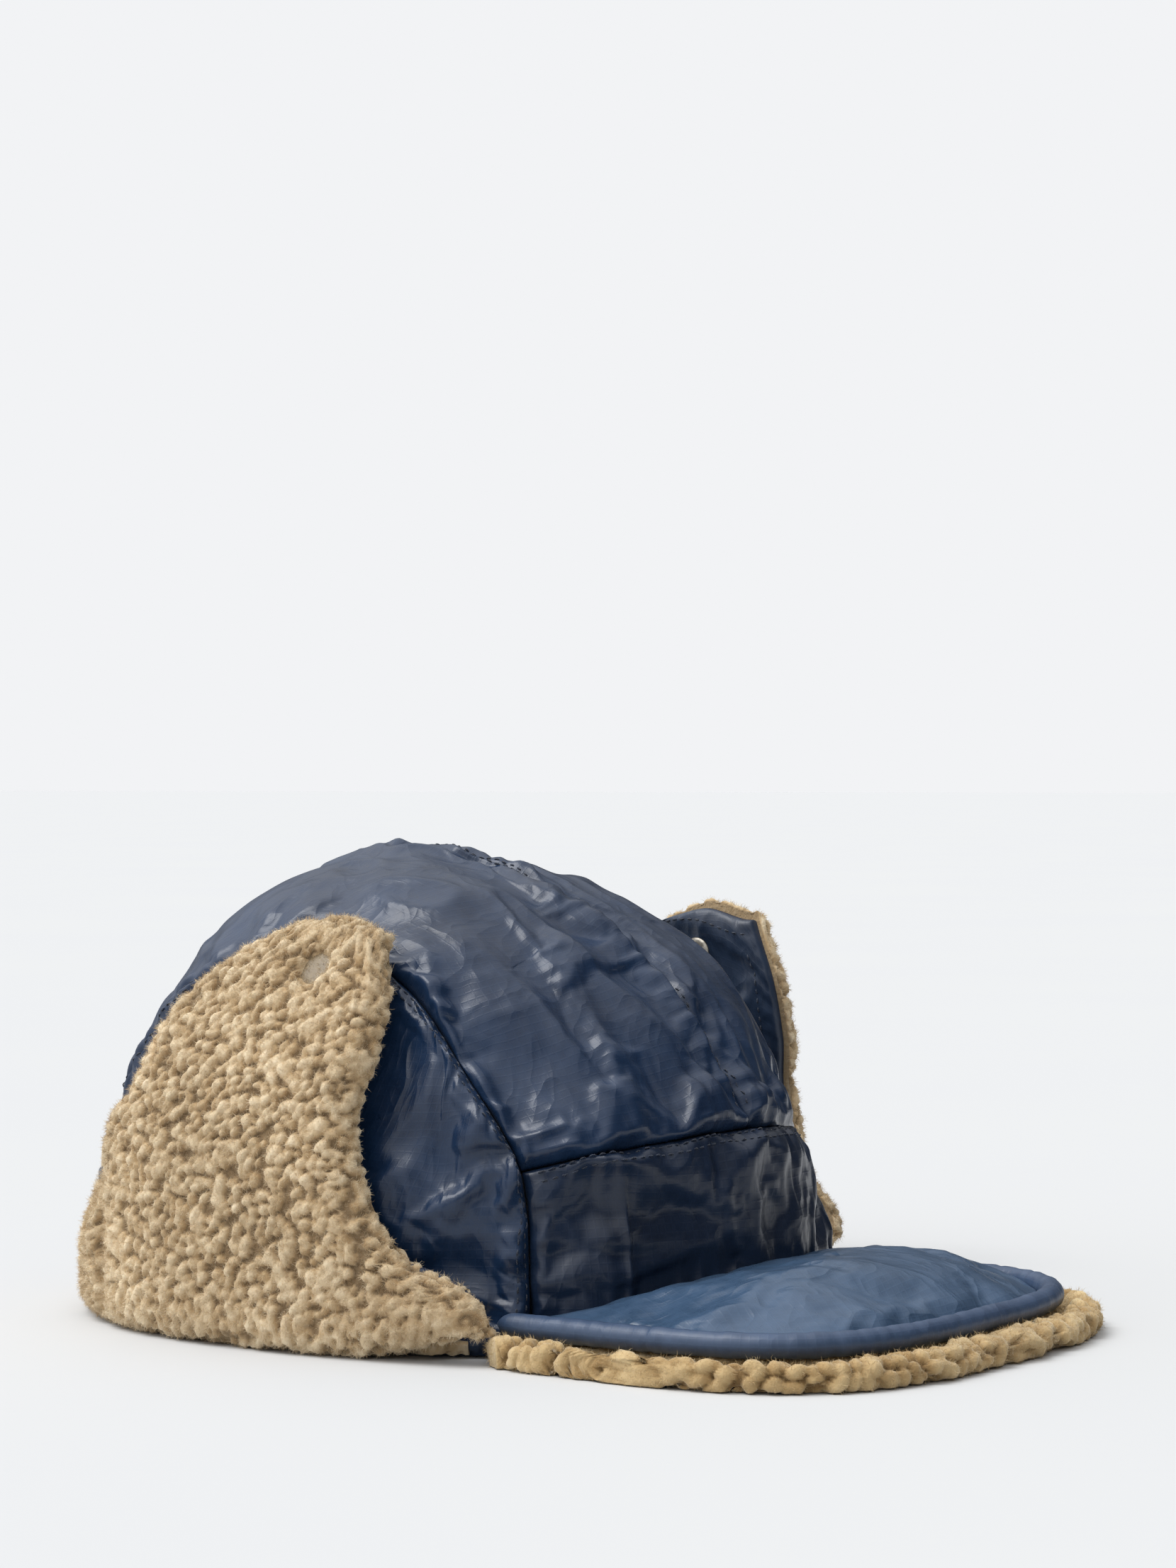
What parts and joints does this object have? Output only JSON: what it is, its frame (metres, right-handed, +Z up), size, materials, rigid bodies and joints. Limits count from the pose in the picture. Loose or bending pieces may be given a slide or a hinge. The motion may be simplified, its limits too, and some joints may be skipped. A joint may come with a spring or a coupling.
{
  "type": "trapper hat",
  "caption": "Padded nylon winter cap with a fleece lining, a soft visor, fold-up ear flaps held by snaps and a fold-up neck flap.",
  "frame": {"origin": "centre of the head opening, in the plane of the crown's hem, which the hat stands on", "axes": "+Z up, the visor points along -Y, the wearer's right is -X"},
  "size_m": [0.2427, 0.3166, 0.1439],
  "materials": {
    "nylon": "semi-gloss navy ripstop nylon",
    "fleece": "tan curly sherpa pile",
    "wadding": "white quilt wadding and piping cord",
    "stiffener": "dark moulded visor board",
    "snap_metal": "antique brass press studs",
    "snap_cap": "smooth tan snap caps",
    "label_tape": "blank woven tape"
  },
  "bodies": {
    "crown": {"forehead_band": "nylon", "forehead_wadding": "wadding", "lining_centre": "fleece", "lining_side_left": "fleece", "lining_side_right": "fleece", "side_panel_left": "nylon", "side_panel_right": "nylon", "side_wadding_left": "wadding", "side_wadding_right": "wadding", "size_label": "label_tape", "snap_rivet_left": "snap_metal", "snap_rivet_right": "snap_metal", "snap_stud_left": "snap_metal", "snap_stud_right": "snap_metal", "top_panel_left": "nylon", "top_panel_right": "nylon", "top_wadding_left": "wadding", "top_wadding_right": "wadding"},
    "ear_flap_right": {"ear_flap_fleece_right": "fleece", "ear_flap_shell_right": "nylon", "ear_flap_wadding_right": "wadding", "snap_cap_right": "snap_cap", "snap_socket_right": "snap_metal"},
    "ear_flap_left": {"ear_flap_fleece_left": "fleece", "ear_flap_shell_left": "nylon", "ear_flap_wadding_left": "wadding", "snap_cap_left": "snap_cap", "snap_socket_left": "snap_metal"},
    "neck_flap": {"neck_flap_fleece": "fleece", "neck_flap_shell": "nylon", "neck_flap_wadding": "wadding"},
    "visor": {"piping_cord": "wadding", "piping_cover": "nylon", "visor_board": "stiffener", "visor_cover": "nylon", "visor_fleece": "fleece", "visor_padding": "wadding"}
  },
  "joints": [
    {"name": "ear_flap_right_fold", "type": "hinge", "parent": "crown", "child": "ear_flap_right", "pos_m": [-0.0992, 0, -0.0005], "axis": [0, -1, 0], "range_deg": [0, 160]},
    {"name": "ear_flap_left_fold", "type": "hinge", "parent": "crown", "child": "ear_flap_left", "pos_m": [0.0992, 0, -0.0005], "axis": [0, 1, 0], "range_deg": [-8, 152]},
    {"name": "neck_flap_fold", "type": "hinge", "parent": "crown", "child": "neck_flap", "pos_m": [0, 0.1062, -0.0005], "axis": [-1, 0, 0], "range_deg": [0, 160]},
    {"name": "visor_flex", "type": "hinge", "parent": "crown", "child": "visor", "pos_m": [0, -0.07, 0.026], "axis": [-1, 0, 0], "range_deg": [0, 15], "stiffness_Nm_per_rad": 0.8}
  ]
}
